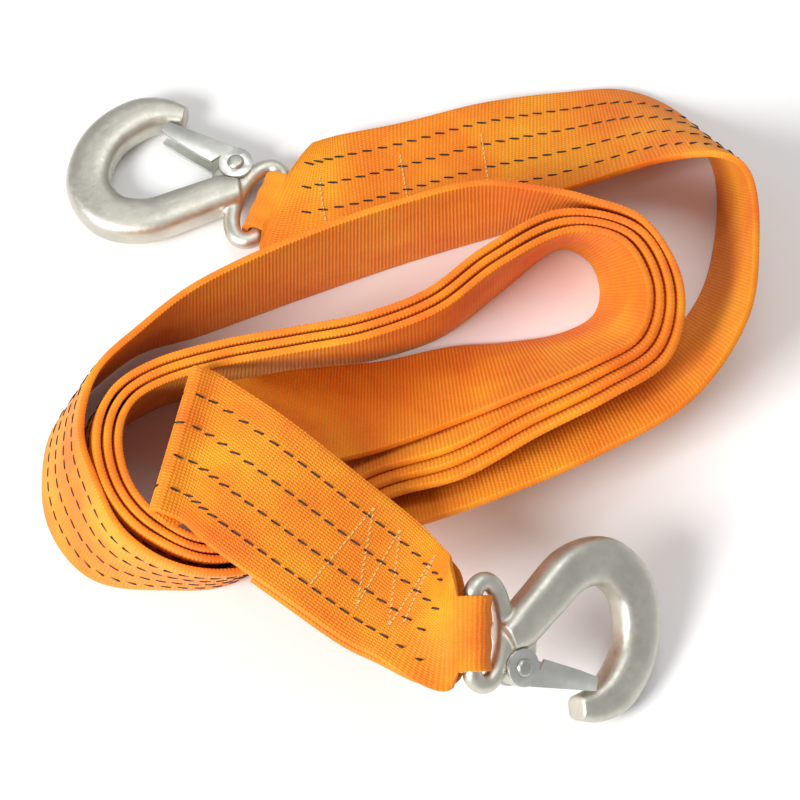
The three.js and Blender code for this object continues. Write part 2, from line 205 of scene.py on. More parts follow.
class StitchSettings(bpy.types.PropertyGroup):
    """The lengthwise seams and the pale tacks at the sewn ends."""

    pitch: FloatProperty(
        name="Pitch", description="Distance from stitch to stitch", default=6.0 * MM, unit="LENGTH"
    )
    length: FloatProperty(
        name="Length", description="Length of thread that shows", default=4.4 * MM, unit="LENGTH"
    )
    radius: FloatProperty(
        name="Thread radius", description="Radius of the thread", default=0.46 * MM, unit="LENGTH"
    )
    thread: StringProperty(name="Thread", description="Seam thread, sRGB hex", default="231410")
    tack: StringProperty(name="Tack", description="Tack thread, sRGB hex", default="F6C06A")


class HookSettings(bpy.types.PropertyGroup):
    """Fineness and finish of the forged hooks."""

    voxel: FloatProperty(
        name="Fineness", description="Size of a facet of the forging", default=0.6 * MM, unit="LENGTH"
    )
    rounds: IntProperty(name="Smoothing", description="Passes that round the edges", default=8, min=0)
    zinc: StringProperty(name="Zinc", description="Plating colour, sRGB hex", default="D6D4C8")


class StageSettings(bpy.types.PropertyGroup):
    """Camera and floor."""

    elevation: FloatProperty(
        name="Elevation", description="Camera above the horizon", default=math.radians(62), subtype="ANGLE"
    )
    distance: FloatProperty(
        name="Distance", description="Camera from the strap", default=1100 * MM, unit="LENGTH"
    )
    lens: FloatProperty(name="Lens", description="Focal length in mm on a 36 mm frame", default=125.3)
    floor: FloatVectorProperty(
        name="Floor", description="Floor colour", default=(0.86, 0.86, 0.86), subtype="COLOR"
    )


# Vectors and curves
def unit(v):
    """Each vector divided by its length."""
    return v / np.linalg.norm(v, axis=-1, keepdims=True)


def along(st):
    """Direction along the strap: from the middle of the station before to the middle of the one after."""
    mid = st.mean(axis=1)
    step = np.gradient(mid, axis=0)
    return unit(step)


def face_normal(st):
    """Square to the face: direction along crossed with direction from edge to edge."""
    return unit(np.cross(along(st), unit(st[:, 1] - st[:, 0])))


def distance(points):
    """Length along a line of points up to each point."""
    return np.concatenate([[0.0], np.cumsum(np.linalg.norm(np.diff(points, axis=0), axis=1))])


def smooth(rows, step):
    """Cubic through the rows, knots spaced by the square root of the chord, slopes from the neighbours.

    Position is the blend of both ends and both slopes by the four Hermite cubics of t from 0 to 1.
    """
    n = len(rows)
    mid = rows.reshape(n, -1, rows.shape[-1]).mean(axis=1)
    chord = np.linalg.norm(np.diff(mid, axis=0), axis=1)
    knots = np.concatenate([[0.0], np.cumsum(np.sqrt(chord))])
    lo = np.clip(np.arange(n) - 1, 0, n - 1)
    hi = np.clip(np.arange(n) + 1, 0, n - 1)
    shape = (-1,) + (1,) * (rows.ndim - 1)
    slope = (rows[hi] - rows[lo]) / (knots[hi] - knots[lo]).reshape(shape)
    count = np.maximum(1, np.round(chord / step)).astype(int)
    span = np.repeat(np.arange(n - 1), count)
    first = np.repeat(np.cumsum(count) - count, count)
    t = ((np.arange(count.sum()) - first) / count[span]).reshape(shape)
    gap = np.diff(knots)[span].reshape(shape)
    out = (2 * t**3 - 3 * t**2 + 1) * rows[span] + (t**3 - 2 * t**2 + t) * gap * slope[span]
    out += (3 * t**2 - 2 * t**3) * rows[span + 1] + (t**3 - t**2) * gap * slope[span + 1]
    return np.concatenate([out, rows[-1:]])


def rested(rows, thickness):
    """Rows as stations, lifted by half the thickness times the upward part of their normal."""
    st = np.array(rows, float).reshape(-1, 2, 3)
    st[..., 2] += (np.abs(face_normal(st)[:, 2]) * thickness * 0.5)[:, None]
    return st


def coil(width, thickness, gap):
    """One turn repeated, each station moved outward by the layers still wound outside it."""
    x, y, dx, dy = np.array(TURN, float).T
    rise = np.sqrt(width**2 - dx**2 - dy**2)
    flat = np.stack([x, y, 0 * x, x + dx, y + dy, rise], axis=1)
    ring = rested(np.concatenate([flat[-1:], flat, flat[:1]]), thickness)
    normals = face_normal(ring)
    n = np.arange(1, COIL_TURNS * len(TURN) + TURN_TAIL)
    i = n % len(TURN) + 1
    chord = ring[i + 1, 0] - ring[i - 1, 0]
    outward = unit(np.stack([-chord[:, 1], chord[:, 0], 0 * chord[:, 0]], axis=1))
    layers = COIL_TURNS - n / len(TURN)
    shift = layers * (thickness + gap) / np.abs((normals[i] * outward).sum(axis=1))
    return ring[i] + (outward * shift[:, None])[:, None]


def half_turn(axis, outward, up, radius, count):
    """Stations round an axis line from under it to over it: radius times cosine outward and sine upward."""
    angle = (np.arange(count + 1) / count - 0.5) * np.pi
    by = radius * (np.cos(angle)[:, None] * outward + np.sin(angle)[:, None] * up)
    return axis[None] + by[:, None]


def fold_stations(before, thickness, gap):
    """The flat fold: half a turn about the crease, and a straight lead on both sides of it."""
    crease = np.array(FOLD, float).reshape(2, 3)
    line = unit(crease[1] - crease[0])
    travel = crease.mean(axis=0) - before.mean(axis=0)
    outward = unit(travel - line * (travel @ line))
    up = np.cross(outward, line)
    up = up if up[2] > 0 else -up
    radius = (thickness + gap) * 0.5
    axis = crease + up * (radius + thickness * 0.5)
    arc = half_turn(axis, outward, up, radius, FOLD_SEGMENTS)
    lead = -FOLD_LEAD * outward
    return arc, arc[0] + lead, arc[-1] + lead


def hook_frame(name):
    """Origin, far direction, side and normal of a hook.

    It is turned about z, dipped about its side and rolled about its own length.
    """
    place = HOOKS[name]
    turn, dip, roll = (math.radians(place[k]) for k in ("turn", "dip", "roll"))
    m = Matrix.Rotation(turn, 3, "Z") @ Matrix.Rotation(dip, 3, "Y") @ Matrix.Rotation(roll, 3, "X")
    axes = np.array(m)
    return np.array(place["at"], float), axes[:, 0], axes[:, 1], axes[:, 2]


def loop_frame(name, nearest):
    """The end loop's own directions at a bar: along the strap, however the hook hangs."""
    at, _, side, _ = hook_frame(name)
    forward = at - nearest.mean(axis=0)
    forward = unit(forward - side * (forward @ side))
    return at, forward, side, np.cross(forward, side)


def leaving(loop, width, radius, flip):
    """Two stations where the strap leaves the top of a bar, the second straight on from the first."""
    at, forward, side, up = loop
    half = side * width * 0.5 * flip
    top = at + up * radius
    first = np.stack([top - half, top + half])
    return np.stack([first, first - forward * LOOP_LEAD])


def end_loop(strap, loop, lap, width, thickness, radius):
    """From the strap over the bar and back beneath the strap: half a turn, then the strap's own stations
    moved down their normals by a gap that closes with a smooth step."""
    at, forward, _, up = loop
    half = unit(strap[0, 1] - strap[0, 0]) * width * 0.5
    axis = np.stack([at - half, at + half])
    arc = half_turn(axis, forward, up, radius, LOOP_SEGMENTS)[::-1]
    run = distance(strap.mean(axis=1))
    keep = np.flatnonzero(run < lap)
    keep = np.arange(1, keep[-1] + 2)
    t = np.clip(run[keep] / LAP_TAPER, 0, 1)
    shut = thickness + LAP_GAP
    gap = 2 * radius + (shut - 2 * radius) * t * t * (3 - 2 * t)
    normal = face_normal(strap)[keep]
    down = np.where(normal[:, 2:] < 0, normal, -normal) * gap[:, None]
    return np.concatenate([arc[1:], strap[keep] + down[:, None]])


class Strap:
    """The whole webbing as stations, with its width, normal and length at each of them, in mm."""

    def __init__(self, settings):
        width, thick, gap = (v / MM for v in (settings.width, settings.thickness, settings.layer_gap))
        radius = BAR_RADIUS + BAR_CLEARANCE + thick * 0.5
        outer = rested(OUTER_RUN, thick)
        inner = rested(INNER_RUN, thick)
        ending = rested(END_RUN, thick)
        loop_a = loop_frame("a", outer[0])
        loop_b = loop_frame("b", ending[-1])
        arc, before, after = fold_stations(inner[-1], thick, gap)
        top_a = leaving(loop_a, width, radius, 1)
        top_b = leaving(loop_b, width, radius, -1)[::-1]
        runs = [top_a, outer, coil(width, thick, gap), inner, before[None], arc[:1]]
        route = np.concatenate(runs)
        steps = np.full(len(route) - 1, STEP)
        steps[:2] = LOOP_STEP
        first = smooth(route, steps)
        route = np.concatenate([arc[-1:], after[None], ending, top_b])
        steps = np.full(len(route) - 1, STEP)
        steps[-2:] = LOOP_STEP
        last = smooth(route, steps)
        main = np.concatenate([first, arc[1:-1], last])
        lap_a = end_loop(main, loop_a, LAP_A, width, thick, radius)[::-1]
        lap_b = end_loop(main[::-1], loop_b, LAP_B, width, thick, radius)
        st = np.concatenate([lap_a, main, lap_b])
        self.bars = (len(lap_a) - LOOP_SEGMENTS // 2, len(lap_a) + len(main) - 1 + LOOP_SEGMENTS // 2)
        self.middle = st.mean(axis=1) + TO_ORIGIN
        self.side = unit(st[:, 1] - st[:, 0])
        self.normal = face_normal(st)
        self.run = distance(self.middle)
        self.thickness = thick
        self.opened = np.minimum(self.ease(self.bars[0], SHOULDER_A), self.ease(self.bars[1], SHOULDER_B))
        share = EYE_WEB_WIDTH / width + (1 - EYE_WEB_WIDTH / width) * self.opened
        self.half = np.linalg.norm(st[:, 1] - st[:, 0], axis=1) * 0.5 * share

    def ease(self, bar, shoulder):
        """How far the webbing has opened out, 0 at a bar to 1: a quarter circle over the shoulder."""
        t = np.clip((np.abs(self.run - self.run[bar]) - LOOP_PLAIN) / shoulder, 0, 1)
        return np.sqrt(1 - (1 - t) ** 2)

    def at(self, run, across):
        """Points, directions and normals on the sewn face: run is mm from the first end, across 0 to 1."""

        def pick(values):
            return np.stack([np.interp(run, self.run, values[:, k]) for k in range(3)], axis=-1)

        half = np.interp(run, self.run, self.half)[:, None]
        normal = -unit(pick(self.normal))
        side = unit(pick(self.side))
        spot = pick(self.middle) + side * half * (2 * np.asarray(across)[:, None] - 1)
        spot = spot + normal * self.thickness * 0.5
        return spot, unit(np.cross(side, normal)), side, normal


# Meshes
def mesh_object(name, points, faces):
    """A mesh object from points in mm and a list of equal-sided face arrays."""
    mesh = bpy.data.meshes.new(name)
    loops = np.concatenate([f.reshape(-1) for f in faces]).astype(np.int32)
    sizes = np.concatenate([np.full(len(f), f.shape[1]) for f in faces]).astype(np.int32)
    mesh.vertices.add(len(points))
    mesh.vertices.foreach_set("co", (points * MM).astype(np.float32).reshape(-1))
    mesh.loops.add(len(loops))
    mesh.loops.foreach_set("vertex_index", loops)
    mesh.polygons.add(len(sizes))
    mesh.polygons.foreach_set("loop_start", np.concatenate([[0], np.cumsum(sizes)[:-1]]).astype(np.int32))
    mesh.polygons.foreach_set("use_smooth", np.ones(len(sizes), bool))
    mesh.update(calc_edges=True)
    mesh.validate()
    obj = bpy.data.objects.new(name, mesh)
    bpy.context.scene.collection.objects.link(obj)
    return obj


def grid_faces(rows, columns, wrap_rows=False):
    """Quads of a grid whose columns close on themselves, and whose rows may."""
    i, j = np.meshgrid(np.arange(rows if wrap_rows else rows - 1), np.arange(columns), indexing="ij")
    k = (j + 1) % columns
    n = (i + 1) % rows
    corners = [i * columns + j, i * columns + k, n * columns + k, n * columns + j]
    return np.stack(corners, axis=-1).reshape(-1, 4)


def store(obj, name, values):
    """A vector value for each point, for a material to read."""
    layer = obj.data.attributes.new(name, "FLOAT_VECTOR", "POINT")
    layer.data.foreach_set("vector", values.astype(np.float32).reshape(-1))


def finished(obj):
    """The object with its modifiers worked into its mesh."""
    graph = bpy.context.evaluated_depsgraph_get()
    mesh = bpy.data.meshes.new_from_object(obj.evaluated_get(graph))
    old = obj.data
    obj.modifiers.clear()
    obj.data = mesh
    bpy.data.meshes.remove(old)
    return obj


# Materials
WAVE_REPEAT = 0.314  # a wave texture repeats after this many metres at a scale of 1


def linear(code):
    """sRGB hex as linear red, green, blue and full alpha."""
    srgb = np.array([int(code[i : i + 2], 16) for i in (0, 2, 4)]) / 255
    return (*np.where(srgb <= 0.04045, srgb / 12.92, ((srgb + 0.055) / 1.055) ** 2.4), 1.0)


def node(tree, kind, settings=None, **inputs):
    """Adds a node: settings are its own properties, inputs are values or (node, output) links.

    An input is named by its socket, with _ for a space, or by i and its number.
    """
    made = tree.nodes.new("ShaderNode" + kind)
    for key, value in (settings or {}).items():
        setattr(made, key, value)
    for key, value in inputs.items():
        name = key.replace("_", " ")
        socket = made.inputs[int(name[1:])] if name[0] == "i" and name[1:].isdigit() else made.inputs[name]
        if isinstance(value, tuple) and len(value) == 2 and isinstance(value[0], bpy.types.Node):
            tree.links.new(value[0].outputs[value[1]], socket)
        else:
            socket.default_value = value
    return made


def new_material(name):
    """An empty node material with its shader."""
    mat = bpy.data.materials.new(name)
    mat.use_nodes = True
    tree = mat.node_tree
    return mat, tree, tree.nodes["Principled BSDF"]


def stops(ramp, colours):
    """Puts colours at their places on a colour ramp."""
    band = ramp.color_ramp
    while len(band.elements) < len(colours):
        band.elements.new(0.5)
    for element, (place, colour) in zip(band.elements, colours):
        element.position = place
        element.color = colour


def polyester_webbing(settings):
    """Polyester webbing, shuttle woven from thick dyed yarn: cross ribs, warp ends and a soft sheen.

    The eye sees ribs 1.5 mm apart, yarn that scatters light, and dye a little uneven from place to place; shade
    in the weave's valleys is painted into the colour.
    """
    mat, tree, shader = new_material("polyester webbing")
    uv = node(tree, "UVMap", {"uv_map": "strap"})
    rib = settings.rib
    # u is metres along the strap and v metres across it
    ribs = node(tree, "TexWave", {"bands_direction": "X"}, Vector=(uv, "UV"), Scale=WAVE_REPEAT / rib,
                Distortion=1.2, Detail=2.0, Detail_Scale=3.0)
    ends = node(tree, "TexWave", {"bands_direction": "Y"}, Vector=(uv, "UV"), Scale=WAVE_REPEAT / (rib * 0.8),
                Distortion=0.8, Detail=1.0, Detail_Scale=2.0)
    # specks of loose yarn about 1.1 mm across
    slack = node(tree, "TexNoise", None, Vector=(uv, "UV"), Scale=900.0, Detail=3.0, Roughness=0.6)
    weave = node(tree, "Math", {"operation": "MULTIPLY"}, i0=(ribs, "Fac"), i1=(ends, "Fac"))
    relief = node(tree, "Math", {"operation": "MULTIPLY_ADD"}, i0=(slack, "Fac"), i1=0.35,
                  i2=(weave, "Value"))
    place = node(tree, "TexCoord")
    # dye patches about 36 mm across
    cloud = node(tree, "TexNoise", None, Vector=(place, "Object"), Scale=28.0, Detail=4.0, Roughness=0.55)
    base = linear(settings.colour)
    deep = linear("EE6E08")
    pale = linear("FFA616")
    tone = node(tree, "ValToRGB", None, Fac=(cloud, "Fac"))
    stops(tone, [(0.3, deep), (0.5, base), (0.72, pale)])
    # painted shade and highlight: the weave's relief darkens the colour in its valleys (to 0.72) and lightens
    # it a little on its ridges (to 1.08)
    weave_painted_shade = node(tree, "MapRange", None, Value=(relief, "Value"), From_Min=0.1, From_Max=0.75,
                  To_Min=0.72, To_Max=1.08)
    shade = node(tree, "VectorMath", {"operation": "SCALE"}, i0=(tone, "Color"), Scale=(weave_painted_shade, "Result"))
    tree.links.new(shade.outputs["Vector"], shader.inputs["Base Color"])
    # puckers about 8 mm across
    wrinkle = node(tree, "TexNoise", None, Vector=(uv, "UV"), Scale=120.0, Detail=2.0)
    pucker = node(tree, "Bump", None, Height=(wrinkle, "Fac"), Strength=0.25, Distance=1.2 * MM)
    bump = node(tree, "Bump", None, Height=(relief, "Value"), Normal=(pucker, "Normal"), Strength=0.7,
                Distance=0.5 * MM)
    tree.links.new(bump.outputs["Normal"], shader.inputs["Normal"])
    shader.inputs["Roughness"].default_value = 0.62
    shader.inputs["Specular IOR Level"].default_value = 0.4
    shader.inputs["Sheen Weight"].default_value = 0.35
    shader.inputs["Sheen Roughness"].default_value = 0.4
    shader.inputs["Sheen Tint"].default_value = linear("FFC46A")
    return mat


def polyester_thread(name, code):
    """Twisted polyester sewing thread: fine slanted plies and a slight gloss."""
    mat, tree, shader = new_material(name)
    place = node(tree, "TexCoord")
    # plies about 0.6 mm apart
    plies = node(tree, "TexNoise", None, Vector=(place, "Object"), Scale=1800.0, Detail=2.0)
    tone = node(tree, "ValToRGB", None, Fac=(plies, "Fac"))
    base = linear(code)
    stops(tone, [(0.35, tuple(c * 0.6 for c in base[:3]) + (1.0,)), (0.65, base)])
    tree.links.new(tone.outputs["Color"], shader.inputs["Base Color"])
    bump = node(tree, "Bump", None, Height=(plies, "Fac"), Strength=0.4, Distance=0.2 * MM)
    tree.links.new(bump.outputs["Normal"], shader.inputs["Normal"])
    shader.inputs["Roughness"].default_value = 0.55
    return mat


def zinc_plated(name, code, roughness, grain, depth, source=None):
    """Zinc plated steel: pale grey metal over the skin that forging or pressing left.

    The eye sees a satin gloss, clouds about 14 mm across from the plating bath, and a finer grain.
    """
    mat, tree, shader = new_material(name)
    if source:
        place = node(tree, "Attribute", {"attribute_name": source})
        spot = (place, "Vector")
    else:
        place = node(tree, "TexCoord")
        spot = (place, "Object")
    cloud = node(tree, "TexNoise", None, Vector=spot, Scale=70.0, Detail=5.0, Roughness=0.6)
    skin = node(tree, "TexNoise", None, Vector=spot, Scale=grain, Detail=4.0, Roughness=0.65)
    base = linear(code)
    tone = node(tree, "ValToRGB", None, Fac=(cloud, "Fac"))
    stops(tone, [(0.3, tuple(c * 0.78 for c in base[:3]) + (1.0,)), (0.7, base)])
    tree.links.new(tone.outputs["Color"], shader.inputs["Base Color"])
    rough = node(tree, "MapRange", None, Value=(skin, "Fac"), From_Min=0.3, From_Max=0.7,
                 To_Min=roughness - 0.07, To_Max=roughness + 0.09)
    tree.links.new(rough.outputs["Result"], shader.inputs["Roughness"])
    bump = node(tree, "Bump", None, Height=(skin, "Fac"), Strength=0.5, Distance=depth)
    tree.links.new(bump.outputs["Normal"], shader.inputs["Normal"])
    shader.inputs["Metallic"].default_value = 1.0
    return mat


# Pieces
FLAT_SHARE = 0.975  # share of the half width that is flat, before the round selvedge
FLAT_POINTS = 23
SELVEDGE_POINTS = 7
GATHER_HEIGHT = 0.25  # mm, ripples where the webbing is gathered into an eye
GATHER_WAVES = 3


def webbing_profile():
    """Section of the webbing as (across, up) from -1 to 1: flat faces joined by half round selvedges."""
    flat = np.linspace(-FLAT_SHARE, FLAT_SHARE, FLAT_POINTS)
    turn = np.linspace(-0.5, 0.5, SELVEDGE_POINTS)[1:-1] * np.pi
    right = np.stack([FLAT_SHARE + (1 - FLAT_SHARE) * np.cos(turn), np.sin(turn)], axis=1)
    top = np.stack([flat[::-1], np.ones_like(flat)], axis=1)
    bottom = np.stack([flat, -np.ones_like(flat)], axis=1)
    left = right[::-1] * [-1, 1]
    return np.concatenate([bottom, right, top, left])


class STRAP_OT_webbing(bpy.types.Operator):
    """Make the woven webbing from its route"""

    bl_idname = "strap.webbing"
    bl_label = "Webbing"

    def execute(self, context):
        settings = context.scene.strap_webbing
        strap = Strap(settings)
        across, up = webbing_profile().T
        gather = (1 - strap.opened)[:, None] * GATHER_HEIGHT * np.cos(across * GATHER_WAVES * np.pi)
        out = up * strap.thickness * 0.5 + gather
        points = strap.middle[:, None] + strap.side[:, None] * (strap.half[:, None] * across)[..., None]
        points = points + strap.normal[:, None] * out[..., None]
        rows, columns = points.shape[:2]
        quads = grid_faces(rows, columns)
        start = np.arange(columns)[None, ::-1]
        end = (rows - 1) * columns + np.arange(columns)[None]
        obj = mesh_object("webbing_woven", points.reshape(-1, 3), [quads, start, end])
        lengths = np.repeat(strap.run * MM, columns)
        widths = np.tile(across, rows) * settings.width * 0.5
        loops = np.zeros(len(obj.data.loops), np.int32)
        obj.data.loops.foreach_get("vertex_index", loops)
        layer = obj.data.uv_layers.new(name="strap")
        flat = np.stack([lengths[loops], widths[loops]], axis=1)
        layer.data.foreach_set("uv", flat.astype(np.float32).reshape(-1))
        obj.data.materials.append(polyester_webbing(settings))
        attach(obj, "strap")
        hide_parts("webbing")
        return {"FINISHED"}


THREAD_SIDES = 6


def stitches(name, spot, ahead, side, normal, length, radius, material):
    """Thread dashes: length times cosine ahead, radius times the root of sine round that line."""
    around = THREAD_SIDES
    tilt = np.linspace(0, np.pi, THREAD_SIDES)[1:-1]
    turn = np.arange(around) / around * 2 * np.pi
    ring = np.stack(
        [
            np.repeat(np.cos(tilt) * length * 0.5, around),
            np.outer(np.sin(tilt) ** 0.5, np.cos(turn)).reshape(-1) * radius,
            np.outer(np.sin(tilt) ** 0.5, np.sin(turn)).reshape(-1) * radius,
        ],
        axis=1,
    )
    poles = np.array([[length * 0.5, 0, 0], [-length * 0.5, 0, 0]])
    local = np.concatenate([ring, poles])
    frame_axes = np.stack([ahead, side, normal], axis=1)
    points = spot[:, None] + np.einsum("kc,ncx->nkx", local, frame_axes)
    quads = grid_faces(len(tilt), around)[:, ::-1]
    j = np.arange(around)
    last = (len(tilt) - 1) * around
    cap_a = np.stack([j, np.full(around, len(ring)), (j + 1) % around], axis=1)
    cap_b = np.stack([last + (j + 1) % around, np.full(around, len(ring) + 1), last + j], axis=1)
    offset = (np.arange(len(spot)) * len(local))[:, None, None]
    faces = [(f[None] + offset).reshape(-1, f.shape[1]) for f in (quads, cap_a, cap_b)]
    obj = mesh_object(name, points.reshape(-1, 3), faces)
    obj.data.materials.append(material)
    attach(obj, "strap")
    return obj


SEAMS = (0.2, 0.41, 0.63, 0.84)  # share of the width, from the ground edge
SEAM_START = 22  # mm of webbing beside each bar without a seam
SEAM_STAGGER = 0.37  # share of the pitch that each seam starts after the one before
TACK_PITCH = 2.6
TACK_RADIUS = 0.4
# Pale tacks that close the laps: distance from the bar in mm and share of the width, corner to corner.
TACKS_A = [[(30, 0.34), (34, 0.78)], [(65, 0.3), (69, 0.8)], [(100, 0.3), (104, 0.82)]]
TACKS_B = [[(70, 0.84), (67, 0.13), (52, 0.76), (54, 0.14), (37, 0.76), (37, 0.1), (33, 0.68)]]


class STRAP_OT_stitching(bpy.types.Operator):
    """Sew the lengthwise seams and the tacks of the laps"""

    bl_idname = "strap.stitching"
    bl_label = "Stitching"

    def execute(self, context):
        settings = context.scene.strap_stitches
        strap = Strap(context.scene.strap_webbing)
        start, end = strap.run[list(strap.bars)]
        pitch, length, radius = (v / MM for v in (settings.pitch, settings.length, settings.radius))
        runs = np.arange(start + SEAM_START, end - SEAM_START, pitch)
        run = np.concatenate([runs + pitch * k * SEAM_STAGGER for k in range(len(SEAMS))])
        across = np.repeat(SEAMS, len(runs))
        keep = run < end - SEAM_START
        spot, ahead, side, normal = strap.at(run[keep], across[keep])
        thread = polyester_thread("seam thread", settings.thread)
        seams = stitches("seam_stitches", spot, ahead, side, normal, length, radius, thread)
        pale = polyester_thread("tack thread", settings.tack)
        legs = [(start, 1, line) for line in TACKS_A] + [(end, -1, line) for line in TACKS_B]
        width = context.scene.strap_webbing.width
        run, across = [], []
        for bar, sign, line in legs:
            for (r0, a0), (r1, a1) in zip(line, line[1:]):
                count = max(2, round(math.hypot(r1 - r0, (a1 - a0) * width / MM) / TACK_PITCH))
                t = (np.arange(count) + 0.5) / count
                run.append(bar + sign * (r0 + (r1 - r0) * t))
                across.append(a0 + (a1 - a0) * t)
        run, across = np.concatenate(run), np.concatenate(across)
        spot, ahead, side, normal = strap.at(run, across)
        tacks = stitches("lap_tacks", spot, side, -ahead, normal, TACK_PITCH, TACK_RADIUS, pale)
        return {"FINISHED"}


def tube(points, half_width, half_height, power, around, closed=False):
    """Superellipse section carried along a flat line: width and height times cosine and sine to a power."""
    if closed:
        ahead = np.roll(points, -1, axis=0) - np.roll(points, 1, axis=0)
    else:
        ahead = np.gradient(points, axis=0)
    ahead = unit(ahead)
    angle = (np.arange(around) + 0.5) / around * 2 * np.pi
    c, s = np.cos(angle), np.sin(angle)
    u = np.sign(c) * np.abs(c) ** power * half_width[:, None]
    w = np.sign(s) * np.abs(s) ** power * half_height[:, None]
    x = points[:, :1] + ahead[:, 1:] * u
    y = points[:, 1:] - ahead[:, :1] * u
    grid = np.stack([x, y, w], axis=-1)
    faces = [grid_faces(len(points), around, closed)[:, ::-1]]
    if not closed:
        faces += [np.arange(around)[None], ((len(points) - 1) * around + np.arange(around))[None, ::-1]]
    return grid.reshape(-1, 3), faces


def drum(centre, radius, height, sides=48):
    """A closed cylinder across the hook's plane."""
    angle = np.arange(sides) / sides * 2 * np.pi
    circle = np.stack([centre[0] + radius * np.cos(angle), centre[1] + radius * np.sin(angle)], axis=1)
    levels = np.array([-height * 0.5, height * 0.5])
    points = np.concatenate([np.concatenate([circle, np.full((sides, 1), z)], axis=1) for z in levels])
    return points, [grid_faces(2, sides), np.arange(sides)[None, ::-1], (sides + np.arange(sides))[None]]


def hook_forging(settings):
    """The forging in its own frame: body, eye, pockets and lug joined, then remeshed and rounded."""
    line = smooth(np.array(HOOK_LINE, float), HOOK_STEP)
    share = np.linspace(0, 1, len(line))
    thin = np.clip((share - BEAK_START) / (1 - BEAK_START), 0, 1)
    height = HOOK_THICKNESS * 0.5 * (1 - BEAK_THINNING * thin)
    shape = tube(line[:, :2], line[:, 2] * 0.5, height, HOOK_SQUARENESS, HOOK_SIDES)
    body = mesh_object("hook_body", *shape)
    angle = np.arange(EYE_POINTS) / EYE_POINTS * 2 * np.pi
    x = np.maximum(0, EYE_REACH * (EYE_FLATTENING + (1 - EYE_FLATTENING) * np.cos(angle)))
    ring = np.stack([x, -EYE_HALF_WIDTH * np.sin(angle)], axis=1)
    ring = ring[np.linalg.norm(ring - np.roll(ring, 1, axis=0), axis=1) > 5 * WELD]
    radius = np.full(len(ring), BAR_RADIUS)
    eye = mesh_object("hook_eye", *tube(ring, radius, radius, 1.0, EYE_SIDES, closed=True))
    cutters = []
    for sign in (-1, 1):
        points, faces = drum(RIVET, POCKET_RADIUS, POCKET_HEIGHT)
        points[:, 2] += sign * (LUG_THICKNESS + POCKET_HEIGHT) * 0.5
        cutters.append(mesh_object("pocket", points, faces))
    lug = mesh_object("lug", *drum(RIVET, LUG_RADIUS, LUG_THICKNESS))
    neck = mesh_object("neck", *drum(NECK, LUG_RADIUS, LUG_THICKNESS))
    tools = [("DIFFERENCE", cutter) for cutter in cutters] + [("UNION", extra) for extra in (eye, lug, neck)]
    for operation, tool in tools:
        step = body.modifiers.new("joining", "BOOLEAN")
        step.operation = operation
        step.solver = "EXACT"
        step.object = tool
    skin = body.modifiers.new("skin", "REMESH")
    skin.mode = "VOXEL"
    skin.voxel_size = settings.voxel
    skin.use_smooth_shade = True
    soften = body.modifiers.new("soften", "SMOOTH")
    soften.factor = 0.5
    soften.iterations = settings.rounds
    finished(body)
    for _, tool in tools:
        bpy.data.objects.remove(tool)
    return body


def placed(name):
    """Matrix that carries the hook's own frame to its place."""
    at, forward, side, up = hook_frame(name)
    m = Matrix(np.column_stack([forward, side, up]).tolist()).to_4x4()
    m.translation = Vector((at + TO_ORIGIN) * MM)
    return m


class STRAP_OT_hooks(bpy.types.Operator):
    """Forge the snap hooks"""

    bl_idname = "strap.hooks"
    bl_label = "Hooks"

    def execute(self, context):
        settings = context.scene.strap_hooks
        blank = hook_forging(settings)
        steel = zinc_plated("zinc plated forging", settings.zinc, 0.47, 380.0, 0.25 * MM, "hook_place")
        local = np.zeros(len(blank.data.vertices) * 3, np.float32)
        blank.data.vertices.foreach_get("co", local)
        for name in HOOKS:
            obj = bpy.data.objects.new(f"hook_{name}_forging", blank.data.copy())
            context.scene.collection.objects.link(obj)
            store(obj, "hook_place", local)
            obj.data.transform(placed(name))
            obj.data.materials.clear()
            obj.data.materials.append(steel)
            obj.data.shade_smooth()
            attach(obj, f"hook_{name}")
            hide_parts(f"hook_{name}")
        bpy.data.objects.remove(blank)
        return {"FINISHED"}


def softened(kind, hook, made, body, material):
    """A copy of the first hook's solid, its loose triangles joined into faces and every sharp edge rounded,
    carried to its own hook. Both hooks have the same latch and rivet."""
    name = f"{kind}_{hook}_{made}"
    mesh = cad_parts[f"{kind}_a"].data.copy()
    shape = bmesh.new()
    shape.from_mesh(mesh)
    bmesh.ops.remove_doubles(shape, verts=shape.verts, dist=WELD * MM)
    bmesh.ops.dissolve_limit(shape, angle_limit=math.radians(2), verts=shape.verts, edges=shape.edges)
    shape.to_mesh(mesh)
    shape.free()
    obj = bpy.data.objects.new(name, mesh)
    bpy.context.scene.collection.objects.link(obj)
    edge = obj.modifiers.new("edge", "BEVEL")
    edge.width = EDGE_ROUNDING * MM
    edge.segments = 2
    edge.limit_method = "ANGLE"
    edge.angle_limit = math.radians(35)
    edge.harden_normals = True
    mesh.shade_smooth()
    finished(obj)
    obj.data.transform(placed(hook) @ placed("a").inverted())
    obj.data.name = name
    obj.data.materials.clear()
    obj.data.materials.append(material)
    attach(obj, body)
    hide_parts(f"{kind}_{hook}")
    return obj


class STRAP_OT_latches(bpy.types.Operator):
    """Finish the latches and their rivets"""

    bl_idname = "strap.latches"
    bl_label = "Latches and rivets"

    def execute(self, context):
        sheet = zinc_plated("zinc plated sheet", "DDDED8", 0.4, 700.0, 0.03 * MM)
        rivet = zinc_plated("zinc plated rivet", "C4C4BD", 0.4, 700.0, 0.03 * MM)
        for name in HOOKS:
            softened("latch", name, "pressing", f"latch_{name}", sheet)
            softened("rivet", name, "head", f"hook_{name}", rivet)
        return {"FINISHED"}


# Soft lights: name, place in metres, power in watts, side in metres.
LIGHTS = [
    ("key", (-0.85, -0.75, 0.85), 25.0, 0.55),
    ("top", (0.25, 0.45, 1.3), 6.0, 0.8),
]
SKY = 0.45
FLOOR_SIDE = 6000
FLOOR_LEVEL = -0.3


